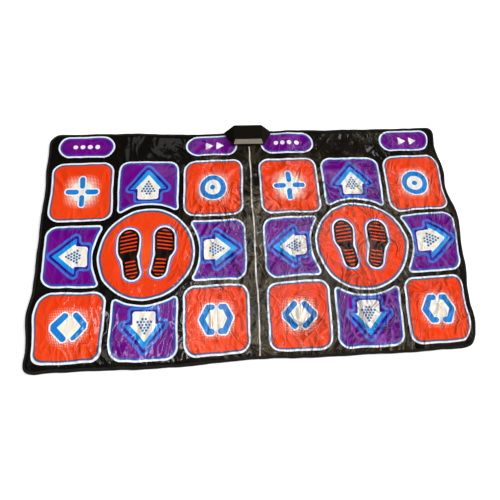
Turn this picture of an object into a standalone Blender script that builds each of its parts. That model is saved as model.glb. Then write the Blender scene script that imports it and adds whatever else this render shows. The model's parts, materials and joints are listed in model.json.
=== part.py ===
"""Two-player soft dance mat with the controller box on its back edge.

Metres, +Z up, +Y towards the back edge that carries the box, player one on the -X half.
The origin is on the floor, under the centre of the mat's outline.
The mat is a stack of soft sheets: backing, foam, lower contact film, spacer foam, printed top.
Each step pad is the zone of the printed top over one switch. It sinks, with the contact patch
under it, through a window in the spacer foam towards the lower contact film.
"""

import math
from collections import namedtuple

import bmesh
import bpy
from mathutils import Vector

# Step cells of one player's half
CELL_WIDTH = 0.243
CORNER_CELL_DEPTH = 0.256
SIDE_CELL_DEPTH = 0.246
CELL_CORNER_RADIUS = 0.045
CELL_TIP_RADIUS = 0.014
COLUMN_GAP = 0.019
ROW_GAP = 0.017
DISC_CLEARANCE = 0.033
DISC_MARGIN = 0.017

# Menu pads along the back edge
PILL_WIDTH = 0.226
PILL_DEPTH = 0.098
PILL_GAP = 0.025
PILL_SIDE_MARGIN = 0.037
PILL_CENTRE_MARGIN = 0.048

# Black margins round the cells
SIDE_MARGIN = 0.0235
CENTRE_MARGIN = 0.0345
FRONT_MARGIN = 0.024
BACK_MARGIN = 0.013
MAT_CORNER_RADIUS = 0.045

# Thicknesses of the sheets, from the floor up
BACKING_THICKNESS = 0.0006
BASE_FOAM_THICKNESS = 0.003
FILM_THICKNESS = 0.0002
SPACER_THICKNESS = 0.002
CONTACT_THICKNESS = 0.0002
TOP_THICKNESS = 0.0006

# Edge tape, folded over the rim
TAPE_THICKNESS = 0.0006
TAPE_LIP = 0.010

# Clearances
LAYER_GAP = 0.0002
FIT_GAP = 0.0003
SPACER_CLEARANCE = 0.0015
CONTACT_INSET = 0.012

# Controller box, from above: a hexagon that narrows to a flat top
BOX_FRONT_WIDTH = 0.132
BOX_SHOULDER_WIDTH = 0.200
BOX_BACK_WIDTH = 0.120
BOX_TOP_WIDTH = 0.114
BOX_DEPTH = 0.082
BOX_SHOULDER_INSET = 0.022
BOX_TOP_FRONT_INSET = 0.018
BOX_OVERHANG = 0.009
BASE_THICKNESS = 0.004
COVER_HEIGHT = 0.022
COVER_WALL = 0.0026
COVER_EDGE_RADIUS = 0.001

# Front panel, let into the sloping front of the cover, as wide as the face leaves room for
PANEL_SIDE_MARGIN = 0.004
PANEL_HEIGHT = 0.020
PANEL_THICKNESS = 0.001

# Screws, driven from below into bosses of the cover
SCREW_RADIUS = 0.0013
SCREW_REACH = 0.010
SCREW_HEAD_RADIUS = 0.0028
SCREW_HEAD_HEIGHT = 0.0018
SCREW_SLOT_WIDTH = 0.0008
SCREW_SLOT_LENGTH = 0.0034
SCREW_SLOT_DEPTH = 0.0009
SCREW_CLEARANCE = 0.0002
BOSS_RADIUS = 0.0035
BOSS_INSET_X = 0.011
BOSS_INSET_Y = 0.011

# Circuit board on posts of the base
BOARD_WIDTH = 0.076
BOARD_DEPTH = 0.038
BOARD_THICKNESS = 0.0016
BOARD_BACK_INSET = 0.012
POST_HEIGHT = 0.005
POST_RADIUS = 0.002
POST_INSET = 0.004
CHIP_SIZE = 0.014
CHIP_THICKNESS = 0.0018

# Ribbon tail from the contact film up to the board
TAIL_WIDTH = 0.060
TAIL_THICKNESS = 0.0003
TAIL_FOOT = 0.012
TAIL_CLAMPED = 0.012
TAIL_CLEARANCE = 0.001

# Rubber cable glands in the back wall
GLAND_BORE_RADIUS = 0.0026
GLAND_NECK_RADIUS = 0.0046
GLAND_FLANGE_RADIUS = 0.0065
GLAND_FLANGE_THICKNESS = 0.002
GLAND_LIP_THICKNESS = 0.0012
GLAND_SPREAD = 0.050
GLAND_RISE = 0.010

# Facets of round shapes
CORNER_STEPS = 5
TIP_STEPS = 3
BITE_STEPS = 8
PILL_END_STEPS = 10
DISC_STEPS = 48
ROUND_STEPS = 16
EDGE_STEPS = 2
SOFT_ANGLE = math.radians(30)
FLAT_ANGLE = math.radians(0.1)
WELD_DISTANCE = 1e-6

# Worked out from the sizes above
COLUMN_PITCH = CELL_WIDTH + COLUMN_GAP
ROW_PITCH = (CORNER_CELL_DEPTH + SIDE_CELL_DEPTH) / 2 + ROW_GAP
MAT_WIDTH = 2 * (SIDE_MARGIN + CELL_WIDTH + 2 * COLUMN_PITCH + CENTRE_MARGIN)
CELLS_DEPTH = 2 * ROW_PITCH + CORNER_CELL_DEPTH
MAT_DEPTH = FRONT_MARGIN + CELLS_DEPTH + PILL_GAP + PILL_DEPTH + BACK_MARGIN
HALF_CENTRE_X = CENTRE_MARGIN + CELL_WIDTH / 2 + COLUMN_PITCH
MIDDLE_ROW_Y = FRONT_MARGIN + CELLS_DEPTH / 2 - MAT_DEPTH / 2
PILL_Y = MAT_DEPTH / 2 - BACK_MARGIN - PILL_DEPTH / 2
DISC_RADIUS = (
    math.hypot(
        COLUMN_PITCH - CELL_WIDTH / 2 + CELL_CORNER_RADIUS,
        ROW_PITCH - CORNER_CELL_DEPTH / 2 + CELL_CORNER_RADIUS,
    )
    - CELL_CORNER_RADIUS
    - DISC_CLEARANCE
)

FOAM_Z = BACKING_THICKNESS + LAYER_GAP
FILM_Z = FOAM_Z + BASE_FOAM_THICKNESS + LAYER_GAP
SPACER_Z = FILM_Z + FILM_THICKNESS + LAYER_GAP
TOP_Z = SPACER_Z + SPACER_THICKNESS + LAYER_GAP
PRINT_SPAN = (TOP_Z, TOP_Z + TOP_THICKNESS)
CONTACT_Z = TOP_Z - LAYER_GAP - CONTACT_THICKNESS
LIP_Z = TOP_Z + TOP_THICKNESS + LAYER_GAP
BASE_Z = LIP_Z + TAPE_THICKNESS + LAYER_GAP
COVER_Z = BASE_Z + BASE_THICKNESS + FIT_GAP
BOX_TOP_Z = COVER_Z + COVER_HEIGHT
BOARD_Z = BASE_Z + BASE_THICKNESS + POST_HEIGHT + FIT_GAP

BOX_BACK_Y = MAT_DEPTH / 2 + BOX_OVERHANG
BOX_FRONT_Y = BOX_BACK_Y - BOX_DEPTH
BOX_SHOULDER_Y = BOX_BACK_Y - BOX_SHOULDER_INSET
BOX_TOP_FRONT_Y = BOX_FRONT_Y + BOX_TOP_FRONT_INSET
BOARD_Y = BOX_BACK_Y - BOARD_BACK_INSET - BOARD_DEPTH / 2
BOARD_FRONT_Y = BOARD_Y - BOARD_DEPTH / 2
SLOT_Y = BOARD_FRONT_Y - TAIL_CLEARANCE

Cell = namedtuple("Cell", "name centre outline colour")
Material = namedtuple("Material", "name colour roughness metallic")

BLACK_VINYL = Material("black_vinyl", (0.012, 0.011, 0.010), 0.25, 0.0)
ORANGE_VINYL = Material("orange_vinyl", (0.90, 0.07, 0.015), 0.25, 0.0)
PURPLE_VINYL = Material("purple_vinyl", (0.13, 0.006, 0.30), 0.25, 0.0)
EDGE_TAPE = Material("edge_tape", (0.008, 0.008, 0.008), 0.6, 0.0)
WOVEN_BACKING = Material("woven_backing", (0.03, 0.03, 0.032), 0.9, 0.0)
WHITE_FOAM = Material("white_foam", (0.75, 0.75, 0.72), 0.9, 0.0)
CONTACT_FILM = Material("contact_film", (0.35, 0.36, 0.38), 0.4, 0.0)
CARBON_INK = Material("carbon_ink", (0.03, 0.03, 0.03), 0.7, 0.0)
BLACK_PLASTIC = Material("black_plastic", (0.013, 0.011, 0.010), 0.5, 0.0)
GREY_PLASTIC = Material("grey_plastic", (0.40, 0.36, 0.30), 0.45, 0.0)
BOARD_GREEN = Material("board_green", (0.02, 0.16, 0.05), 0.4, 0.0)
CHIP_BLACK = Material("chip_black", (0.01, 0.01, 0.01), 0.4, 0.0)
GLAND_RUBBER = Material("gland_rubber", (0.015, 0.015, 0.015), 0.8, 0.0)
ZINC_STEEL = Material("zinc_steel", (0.62, 0.62, 0.60), 0.3, 1.0)


def clear_scene():
    """Removes the objects that the scene starts with."""
    for old in list(bpy.data.objects):
        bpy.data.objects.remove(old, do_unlink=True)


def new_collection(name):
    """A new collection in the scene."""
    collection = bpy.data.collections.new(name)
    bpy.context.scene.collection.children.link(collection)
    return collection


def shader(look):
    """The Principled material of this look, made once and then shared."""
    material = bpy.data.materials.get(look.name)
    if material is None:
        material = bpy.data.materials.new(look.name)
        material.use_nodes = True
        node = material.node_tree.nodes["Principled BSDF"]
        node.inputs["Base Color"].default_value = (*look.colour, 1.0)
        node.inputs["Roughness"].default_value = look.roughness
        node.inputs["Metallic"].default_value = look.metallic
        material.diffuse_color = (*look.colour, 1.0)
    return material


def add_object(name, mesh, look=None, location=(0.0, 0.0, 0.0), rotation=(0.0, 0.0, 0.0)):
    """A part of the mat when it has a look, and a cutter that isn't rendered when it has none."""
    item = bpy.data.objects.new(name, mesh)
    item.location = location
    item.rotation_euler = rotation
    if look is None:
        item.hide_render = True
        item.display_type = "WIRE"
        cutters.objects.link(item)
    else:
        mesh.materials.append(shader(look))
        parts.objects.link(item)
    return item


def arc(centre, radius, start, end, steps):
    """Points along an arc, its ends included. Angles are in degrees."""
    turns = [math.radians(start + (end - start) * i / steps) for i in range(steps + 1)]
    return [(centre[0] + radius * math.cos(t), centre[1] + radius * math.sin(t)) for t in turns]


def moved(points, centre, turn=0.0):
    """Points turned about the origin, in degrees, then moved to the centre."""
    c = math.cos(math.radians(turn))
    s = math.sin(math.radians(turn))
    return [(centre[0] + c * x - s * y, centre[1] + s * x + c * y) for x, y in points]


def rounded_rectangle(width, depth, radius, steps):
    """Outline round the origin, anticlockwise."""
    x = width / 2 - radius
    y = depth / 2 - radius
    points = []
    for turn, corner in ((0, (x, y)), (90, (-x, y)), (180, (-x, -y)), (270, (x, -y))):
        points += arc(corner, radius, turn, turn + 90, steps)
    return points


def rectangle(width, depth, centre):
    """Outline with sharp corners, anticlockwise."""
    x = width / 2
    y = depth / 2
    return moved([(x, y), (-x, y), (-x, -y), (x, -y)], centre)


def corner_cell(grow):
    """Outline of a corner cell round its own centre, grown on every side."""
    width = CELL_WIDTH + 2 * grow
    depth = CORNER_CELL_DEPTH + 2 * grow
    return rounded_rectangle(width, depth, CELL_CORNER_RADIUS + grow, CORNER_STEPS)


def pill_cell(grow):
    """Outline of a menu pad with round ends, round its own centre."""
    width = PILL_WIDTH + 2 * grow
    depth = PILL_DEPTH + 2 * grow
    x = (width - depth) / 2
    right = arc((x, 0.0), depth / 2, -90, 90, PILL_END_STEPS)
    left = arc((-x, 0.0), depth / 2, 90, 270, PILL_END_STEPS)
    return right + left


def arrow_cell(width, reach, grow):
    """Outline of the cell above the disc, seen from the disc's centre, with the disc's bite."""
    half = width / 2 + grow
    top = reach + grow
    corner = CELL_CORNER_RADIUS + grow
    tip = max(CELL_TIP_RADIUS + grow, FIT_GAP)
    bite = DISC_RADIUS + DISC_MARGIN - grow
    tip_x = half - tip
    tip_y = math.sqrt((bite + tip) ** 2 - tip_x**2)
    lean = math.degrees(math.atan2(tip_y, tip_x))
    points = arc((half - corner, top - corner), corner, 0, 90, CORNER_STEPS)
    points += arc((corner - half, top - corner), corner, 90, 180, CORNER_STEPS)
    points += arc((-tip_x, tip_y), tip, 180, 360 - lean, TIP_STEPS)
    points += arc((0.0, 0.0), bite, 180 - lean, lean, BITE_STEPS)[1:-1]
    points += arc((tip_x, tip_y), tip, 180 + lean, 360, TIP_STEPS)
    return points


def player_cells(player, side):
    """The cells of one player's half: side is -1 for the left half and 1 for the right one."""
    half_x = side * HALF_CENTRE_X
    cells = []
    for row, up in (("front", -1), ("back", 1)):
        for column, out in (("left", -1), ("right", 1)):
            centre = (half_x + out * COLUMN_PITCH, MIDDLE_ROW_Y + up * ROW_PITCH)
            outline = lambda grow, centre=centre: moved(corner_cell(grow), centre)
            cells.append(Cell(f"{player}_{row}_{column}", centre, outline, ORANGE_VINYL))
    upright = (CELL_WIDTH, ROW_PITCH + CORNER_CELL_DEPTH / 2, ROW_PITCH)
    sideways = (SIDE_CELL_DEPTH, COLUMN_PITCH + CELL_WIDTH / 2, COLUMN_PITCH)
    shapes = {"up": upright, "left": sideways, "down": upright, "right": sideways}
    for quarter, (name, (width, reach, pitch)) in enumerate(shapes.items()):
        turn = 90 * quarter
        disc = (half_x, MIDDLE_ROW_Y)
        centre = moved([(0.0, pitch)], disc, turn)[0]
        outline = lambda grow, width=width, reach=reach, disc=disc, turn=turn: moved(
            arrow_cell(width, reach, grow), disc, turn
        )
        cells.append(Cell(f"{player}_{name}", centre, outline, PURPLE_VINYL))
    outer = MAT_WIDTH / 2 - PILL_SIDE_MARGIN - PILL_WIDTH / 2
    inner = PILL_CENTRE_MARGIN + PILL_WIDTH / 2
    for name, x in zip(("select", "start"), sorted((side * outer, side * inner))):
        centre = (x, PILL_Y)
        outline = lambda grow, centre=centre: moved(pill_cell(grow), centre)
        cells.append(Cell(f"{player}_{name}", centre, outline, PURPLE_VINYL))
    return cells


def mat_outline(inset):
    """The mat's outline, drawn in on every side."""
    width = MAT_WIDTH - 2 * inset
    depth = MAT_DEPTH - 2 * inset
    return rounded_rectangle(width, depth, MAT_CORNER_RADIUS - inset, CORNER_STEPS)


def plate(name, outline, span, look=None, holes=(), centre=(0.0, 0.0), tilt=0.0):
    """A flat sheet between two heights, from a filled curve, with its origin at the centre given.

    It may be tilted about its middle, round X.
    """
    bottom, top = span
    curve = bpy.data.curves.new(name, "CURVE")
    curve.dimensions = "2D"
    curve.fill_mode = "BOTH"
    curve.extrude = (top - bottom) / 2
    for points in (outline, *holes):
        spline = curve.splines.new("POLY")
        spline.points.add(len(points) - 1)
        spline.use_cyclic_u = True
        for point, (x, y) in zip(spline.points, points):
            point.co = (x - centre[0], y - centre[1], 0.0, 1.0)
    flat = bpy.data.objects.new(name, curve)
    bpy.context.scene.collection.objects.link(flat)
    graph = bpy.context.evaluated_depsgraph_get()
    mesh = bpy.data.meshes.new_from_object(flat.evaluated_get(graph))
    bpy.data.objects.remove(flat, do_unlink=True)
    weld_caps(mesh)
    mesh.materials.clear()
    return add_object(name, mesh, look, (*centre, (top + bottom) / 2), (tilt, 0.0, 0.0))


def weld_caps(mesh):
    """Joins the caps of a filled curve to its walls."""
    work = bmesh.new()
    work.from_mesh(mesh)
    bmesh.ops.remove_doubles(work, verts=work.verts, dist=WELD_DISTANCE)
    bmesh.ops.recalc_face_normals(work, faces=work.faces)
    work.to_mesh(mesh)
    work.free()


def block(name, size, centre, look=None, rotation=(0.0, 0.0, 0.0)):
    """A box of this size, its middle at the centre."""
    work = bmesh.new()
    bmesh.ops.create_cube(work, size=1.0)
    bmesh.ops.scale(work, verts=work.verts, vec=size)
    mesh = bpy.data.meshes.new(name)
    work.to_mesh(mesh)
    work.free()
    return add_object(name, mesh, look, centre, rotation)


def rod(name, radius, span, xy, rotation=(0.0, 0.0, 0.0)):
    """A cutter or a post between two heights, which a rotation may lay down about its middle."""
    bottom, top = span
    work = bmesh.new()
    bmesh.ops.create_cone(
        work, cap_ends=True, segments=ROUND_STEPS, radius1=radius, radius2=radius, depth=top - bottom
    )
    mesh = bpy.data.meshes.new(name)
    work.to_mesh(mesh)
    work.free()
    return add_object(name, mesh, None, (*xy, (top + bottom) / 2), rotation)


def turned(name, profile, look, location, rotation=(0.0, 0.0, 0.0), ring=False):
    """A turned shape: the profile's points, (radius, height), run down its outer side."""
    count = len(profile)
    edges = [(i, i + 1) for i in range(count - 1)]
    if ring:
        edges.append((count - 1, 0))
    mesh = bpy.data.meshes.new(name)
    mesh.from_pydata([(radius, 0.0, height) for radius, height in profile], edges, [])
    item = add_object(name, mesh, look, location, rotation)
    screw = item.modifiers.new("turn", "SCREW")
    screw.steps = ROUND_STEPS
    screw.render_steps = ROUND_STEPS
    screw.use_merge_vertices = True
    screw.merge_threshold = WELD_DISTANCE
    return item


def combine(target, other, operation):
    """Cuts the other solid from the target, or joins it to the target."""
    modifier = target.modifiers.new(other.name, "BOOLEAN")
    modifier.operation = operation
    modifier.object = other
    modifier.solver = "EXACT"


def loft(name, low, high, span, look=None):
    """The solid that two convex outlines at two heights span, with flat facets that bulge out."""
    bottom, top = span
    work = bmesh.new()
    for outline, z in ((low, bottom), (high, top)):
        for x, y in outline:
            work.verts.new((x, y, z))
    bmesh.ops.convex_hull(work, input=work.verts)
    bmesh.ops.dissolve_limit(work, angle_limit=FLAT_ANGLE, verts=work.verts, edges=work.edges)
    mesh = bpy.data.meshes.new(name)
    work.to_mesh(mesh)
    work.free()
    return add_object(name, mesh, look)


def inset_outline(points, distance):
    """A convex outline drawn in by a distance on every side."""
    count = len(points)
    lines = []
    for i in range(count):
        start = Vector(points[i])
        along = (Vector(points[(i + 1) % count]) - start).normalized()
        inward = Vector((-along.y, along.x))
        lines.append((start + inward * distance, along))
    corners = []
    for i in range(count):
        (p, u), (q, v) = lines[i - 1], lines[i]
        step = (q - p).cross(v) / u.cross(v)
        corners.append(tuple(p + u * step))
    return corners


def hexagon(front, shoulder, back, front_y, shoulder_y, back_y):
    """A six-sided outline, anticlockwise, from its widths and where each lies."""
    right = [(front / 2, front_y), (shoulder / 2, shoulder_y), (back / 2, back_y)]
    left = [(-x, y) for x, y in reversed(right)]
    return right + left


def box_foot():
    """The box's outline where it stands on the mat."""
    return hexagon(
        BOX_FRONT_WIDTH, BOX_SHOULDER_WIDTH, BOX_BACK_WIDTH, BOX_FRONT_Y, BOX_SHOULDER_Y, BOX_BACK_Y
    )


def box_crown():
    """The outline of the box's flat top, a hair wider at the shoulders than a rectangle."""
    shoulder = BOX_TOP_WIDTH + COVER_EDGE_RADIUS
    return hexagon(
        BOX_TOP_WIDTH, shoulder, BOX_TOP_WIDTH, BOX_TOP_FRONT_Y, BOX_SHOULDER_Y, BOX_BACK_Y
    )


def boss_places():
    """Where the four screws stand, from above."""
    x = BOX_TOP_WIDTH / 2 - BOSS_INSET_X
    front = BOX_TOP_FRONT_Y + BOSS_INSET_Y
    back = BOX_BACK_Y - BOSS_INSET_Y
    return [(-x, front), (x, front), (-x, back), (x, back)]


def build_layers(cells, discs):
    """The sheets that lie under the whole mat, and the printed top with its windows."""
    inside = mat_outline(TAPE_THICKNESS + FIT_GAP)
    beside_lip = mat_outline(TAPE_LIP + FIT_GAP)
    slot = rectangle(
        TAIL_WIDTH + 2 * TAIL_CLEARANCE, TAIL_THICKNESS + 2 * TAIL_CLEARANCE, (0.0, SLOT_Y)
    )
    foot_depth = TAIL_FOOT + 2 * TAIL_CLEARANCE
    foot_y = SLOT_Y + TAIL_THICKNESS / 2 + TAIL_CLEARANCE - foot_depth / 2
    foot_hole = rectangle(TAIL_WIDTH + 2 * TAIL_CLEARANCE, foot_depth, (0.0, foot_y))
    plate("backing_sheet", beside_lip, (0.0, BACKING_THICKNESS), WOVEN_BACKING)
    plate("base_foam", inside, (FOAM_Z, FOAM_Z + BASE_FOAM_THICKNESS), WHITE_FOAM)
    plate("lower_contact_film", inside, (FILM_Z, FILM_Z + FILM_THICKNESS), CONTACT_FILM)
    holes = [cell.outline(SPACER_CLEARANCE) for cell in cells] + [foot_hole]
    plate("spacer_foam", inside, (SPACER_Z, SPACER_Z + SPACER_THICKNESS), WHITE_FOAM, holes)
    windows = [cell.outline(FIT_GAP) for cell in cells]
    windows += [arc(disc, DISC_RADIUS + FIT_GAP, 0, 360, DISC_STEPS)[:-1] for disc in discs]
    plate("top_sheet", inside, PRINT_SPAN, BLACK_VINYL, windows + [slot])


def build_binding():
    """The tape folded over the rim: a channel that opens inwards."""
    top = LIP_Z + TAPE_THICKNESS
    tape = plate("edge_binding", mat_outline(0.0), (0.0, top), EDGE_TAPE)
    groove = plate("groove_cutter", mat_outline(TAPE_THICKNESS), (TAPE_THICKNESS, LIP_Z))
    window = plate("window_cutter", mat_outline(TAPE_LIP), (-top, 2 * top))
    combine(tape, groove, "DIFFERENCE")
    combine(tape, window, "DIFFERENCE")


def build_pads(cells):
    """One printed pad over each switch, with the contact patch on its underside."""
    patch_span = (CONTACT_Z, CONTACT_Z + CONTACT_THICKNESS)
    for name, centre, outline, colour in cells:
        plate(f"{name}_pad", outline(0.0), PRINT_SPAN, colour, (), centre)
        plate(f"{name}_contact", outline(-CONTACT_INSET), patch_span, CARBON_INK, (), centre)


def build_discs(discs):
    """The round printed panel in the middle of each half, where a player stands."""
    for number, disc in enumerate(discs, 1):
        outline = arc(disc, DISC_RADIUS, 0, 360, DISC_STEPS)[:-1]
        plate(f"p{number}_home_disc", outline, PRINT_SPAN, ORANGE_VINYL, (), disc)


def build_base():
    """The bottom of the box: a plate with screw holes, board posts and the ribbon's slot."""
    top = BASE_Z + BASE_THICKNESS
    slot = rectangle(
        TAIL_WIDTH + 2 * TAIL_CLEARANCE, TAIL_THICKNESS + 2 * TAIL_CLEARANCE, (0.0, SLOT_Y)
    )
    base = plate("box_base", box_foot(), (BASE_Z, top), BLACK_PLASTIC, [slot])
    below = BASE_Z - BASE_THICKNESS
    sink_span = (below, BASE_Z + SCREW_HEAD_HEIGHT + FIT_GAP)
    for number, xy in enumerate(boss_places(), 1):
        hole = rod(f"screw_hole_{number}", SCREW_RADIUS + SCREW_CLEARANCE, (below, 2 * top), xy)
        sink = rod(f"screw_sink_{number}", SCREW_HEAD_RADIUS + FIT_GAP, sink_span, xy)
        combine(base, hole, "DIFFERENCE")
        combine(base, sink, "DIFFERENCE")
    post_x = BOARD_WIDTH / 2 - POST_INSET
    post_y = BOARD_DEPTH / 2 - POST_INSET
    post_span = (top - BASE_THICKNESS / 2, top + POST_HEIGHT)
    for number, (x, y) in enumerate(((-1, -1), (1, -1), (-1, 1), (1, 1)), 1):
        place = (x * post_x, BOARD_Y + y * post_y)
        post = rod(f"board_post_{number}", POST_RADIUS, post_span, place)
        combine(base, post, "UNION")


def panel_frame():
    """Middle and tilt of the cover's sloping front face."""
    middle = ((BOX_FRONT_Y + BOX_TOP_FRONT_Y) / 2, (COVER_Z + BOX_TOP_Z) / 2)
    return middle, math.atan2(COVER_HEIGHT, BOX_TOP_FRONT_INSET)


def panel_outline(grow):
    """The panel's outline in its own plane, round its middle: its sides follow the face's edges."""
    slope = math.hypot(BOX_TOP_FRONT_INSET, COVER_HEIGHT)
    reach = PANEL_HEIGHT / 2 + grow
    middle = (BOX_FRONT_WIDTH + BOX_TOP_WIDTH) / 4 - PANEL_SIDE_MARGIN + grow
    taper = (BOX_FRONT_WIDTH - BOX_TOP_WIDTH) / 2 / slope * reach
    foot, top = middle + taper, middle - taper
    return [(-foot, -reach), (foot, -reach), (top, reach), (-top, reach)]


def build_cover():
    """The top shell of the box, open below, with screw bosses, gland holes and panel recess."""
    cover = loft("box_cover", box_foot(), box_crown(), (COVER_Z, BOX_TOP_Z), BLACK_PLASTIC)
    bevel = cover.modifiers.new("soft edges", "BEVEL")
    bevel.width = COVER_EDGE_RADIUS
    bevel.segments = EDGE_STEPS
    bevel.limit_method = "ANGLE"
    bevel.angle_limit = SOFT_ANGLE
    ceiling = BOX_TOP_Z - COVER_WALL
    floor_outline = inset_outline(box_foot(), COVER_WALL)
    roof_outline = inset_outline(box_crown(), COVER_WALL)
    cavity = loft("cavity_cutter", floor_outline, roof_outline, (COVER_Z, ceiling))
    mouth_span = (COVER_Z - COVER_WALL, COVER_Z + COVER_EDGE_RADIUS)
    mouth = plate("mouth_cutter", floor_outline, mouth_span)
    combine(cover, cavity, "DIFFERENCE")
    combine(cover, mouth, "DIFFERENCE")
    boss_span = (COVER_Z, ceiling + COVER_WALL / 2)
    pilot_span = (COVER_Z - BASE_THICKNESS, COVER_Z + SCREW_REACH + FIT_GAP)
    for number, xy in enumerate(boss_places(), 1):
        boss = rod(f"cover_boss_{number}", BOSS_RADIUS, boss_span, xy)
        pilot = rod(f"pilot_hole_{number}", SCREW_RADIUS + SCREW_CLEARANCE, pilot_span, xy)
        combine(cover, boss, "UNION")
        combine(cover, pilot, "DIFFERENCE")
    laid_back = (math.pi / 2, 0.0, 0.0)
    gland_z = COVER_Z + GLAND_RISE
    hole_span = (gland_z - 2 * COVER_WALL, gland_z + 2 * COVER_WALL)
    for number, x in enumerate((-GLAND_SPREAD / 2, GLAND_SPREAD / 2), 1):
        place = (x, BOX_BACK_Y)
        hole = rod(f"gland_hole_{number}", GLAND_NECK_RADIUS + FIT_GAP, hole_span, place, laid_back)
        combine(cover, hole, "DIFFERENCE")
    (y, z), tilt = panel_frame()
    depth = PANEL_THICKNESS + FIT_GAP
    outline = moved(panel_outline(FIT_GAP), (0.0, y))
    recess_span = (z - depth, z + depth)
    recess = plate("panel_recess", outline, recess_span, centre=(0.0, y), tilt=tilt)
    combine(cover, recess, "DIFFERENCE")


def build_panel():
    """The grey panel, flush with the cover's sloping front."""
    (y, z), tilt = panel_frame()
    depth = PANEL_THICKNESS / 2
    y += depth * math.sin(tilt)
    z -= depth * math.cos(tilt)
    outline = moved(panel_outline(0.0), (0.0, y))
    plate("front_panel", outline, (z - depth, z + depth), GREY_PLASTIC, (), (0.0, y), tilt)


def build_electronics():
    """The board, its chip and the ribbon tail that comes up from the contact film."""
    board_size = (BOARD_WIDTH, BOARD_DEPTH, BOARD_THICKNESS)
    block("circuit_board", board_size, (0.0, BOARD_Y, BOARD_Z + BOARD_THICKNESS / 2), BOARD_GREEN)
    chip_z = BOARD_Z + BOARD_THICKNESS + FIT_GAP + CHIP_THICKNESS / 2
    block("controller_chip", (CHIP_SIZE, CHIP_SIZE, CHIP_THICKNESS), (0.0, BOARD_Y, chip_z), CHIP_BLACK)
    low = SPACER_Z
    high = BOARD_Z - FIT_GAP
    t = TAIL_THICKNESS
    front = SLOT_Y - t / 2
    outline = [
        (front - TAIL_FOOT + t, low),
        (front + t, low),
        (front + t, high - t),
        (front + TAIL_CLAMPED, high - t),
        (front + TAIL_CLAMPED, high),
        (front, high),
        (front, low + t),
        (front - TAIL_FOOT + t, low + t),
    ]
    tail = plate("ribbon_tail", outline, (-TAIL_WIDTH / 2, TAIL_WIDTH / 2), CONTACT_FILM)
    tail.rotation_euler = (math.pi / 2, 0.0, math.pi / 2)


def build_glands():
    """Two rubber glands, each trapped by its flange and lip in the cover's back wall."""
    outer = GLAND_FLANGE_THICKNESS + FIT_GAP
    inner = -COVER_WALL - FIT_GAP
    profile = [
        (GLAND_BORE_RADIUS, outer),
        (GLAND_FLANGE_RADIUS, outer),
        (GLAND_FLANGE_RADIUS, FIT_GAP),
        (GLAND_NECK_RADIUS, FIT_GAP),
        (GLAND_NECK_RADIUS, inner),
        (GLAND_FLANGE_RADIUS, inner),
        (GLAND_FLANGE_RADIUS, inner - GLAND_LIP_THICKNESS),
        (GLAND_BORE_RADIUS, inner - GLAND_LIP_THICKNESS),
    ]
    for name, side in (("left", -1), ("right", 1)):
        place = (side * GLAND_SPREAD / 2, BOX_BACK_Y, COVER_Z + GLAND_RISE)
        turned(f"{name}_cable_gland", profile, GLAND_RUBBER, place, (-math.pi / 2, 0.0, 0.0), ring=True)


def build_screws():
    """Four screws with slotted heads, sunk in the base from below."""
    head = SCREW_HEAD_HEIGHT
    length = COVER_Z + SCREW_REACH - BASE_Z
    profile = [
        (0.0, length),
        (SCREW_RADIUS, length),
        (SCREW_RADIUS, head),
        (SCREW_HEAD_RADIUS, head),
        (SCREW_HEAD_RADIUS, 0.0),
        (0.0, 0.0),
    ]
    for number, (x, y) in enumerate(boss_places(), 1):
        screw = turned(f"cover_screw_{number}", profile, ZINC_STEEL, (x, y, BASE_Z))
        for turn, name in ((0.0, "a"), (math.pi / 2, "b")):
            size = (SCREW_SLOT_LENGTH, SCREW_SLOT_WIDTH, 2 * SCREW_SLOT_DEPTH)
            slot = block(f"screw_slot_{number}{name}", size, (x, y, BASE_Z), None, (0.0, 0.0, turn))
            combine(screw, slot, "DIFFERENCE")


def shade_parts():
    """Round pieces are shaded smooth up to their sharp edges."""
    for item in parts.objects:
        item.data.shade_smooth()
        item.data.set_sharp_from_angle(angle=SOFT_ANGLE)


clear_scene()
parts = new_collection("dance_mat_controller")
cutters = new_collection("cutters")
all_cells = player_cells("p1", -1) + player_cells("p2", 1)
disc_centres = [(-HALF_CENTRE_X, MIDDLE_ROW_Y), (HALF_CENTRE_X, MIDDLE_ROW_Y)]
build_layers(all_cells, disc_centres)
build_binding()
build_pads(all_cells)
build_discs(disc_centres)
build_base()
build_cover()
build_panel()
build_electronics()
build_glands()
build_screws()
shade_parts()
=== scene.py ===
"""Looks of the two-player dance mat: creased vinyl with printed zones, edge tape, box and light.

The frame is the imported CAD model's, in metres: +Z up, +Y towards the back edge with the box, the
origin on the floor under the mat's centre. Every soft sheet is laid out flat, as cut, then moved
by two shared fields: a small shift in the plane, which gives the photographed outline, and a lift
off the floor with the vinyl's creases. So neighbouring sheets keep their gaps at every pose.
"""

import json
import math
from collections import namedtuple
from functools import partial, partialmethod

import bpy
import numpy as np
from mathutils import Matrix, Vector
from mathutils.geometry import delaunay_2d_cdt

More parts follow.
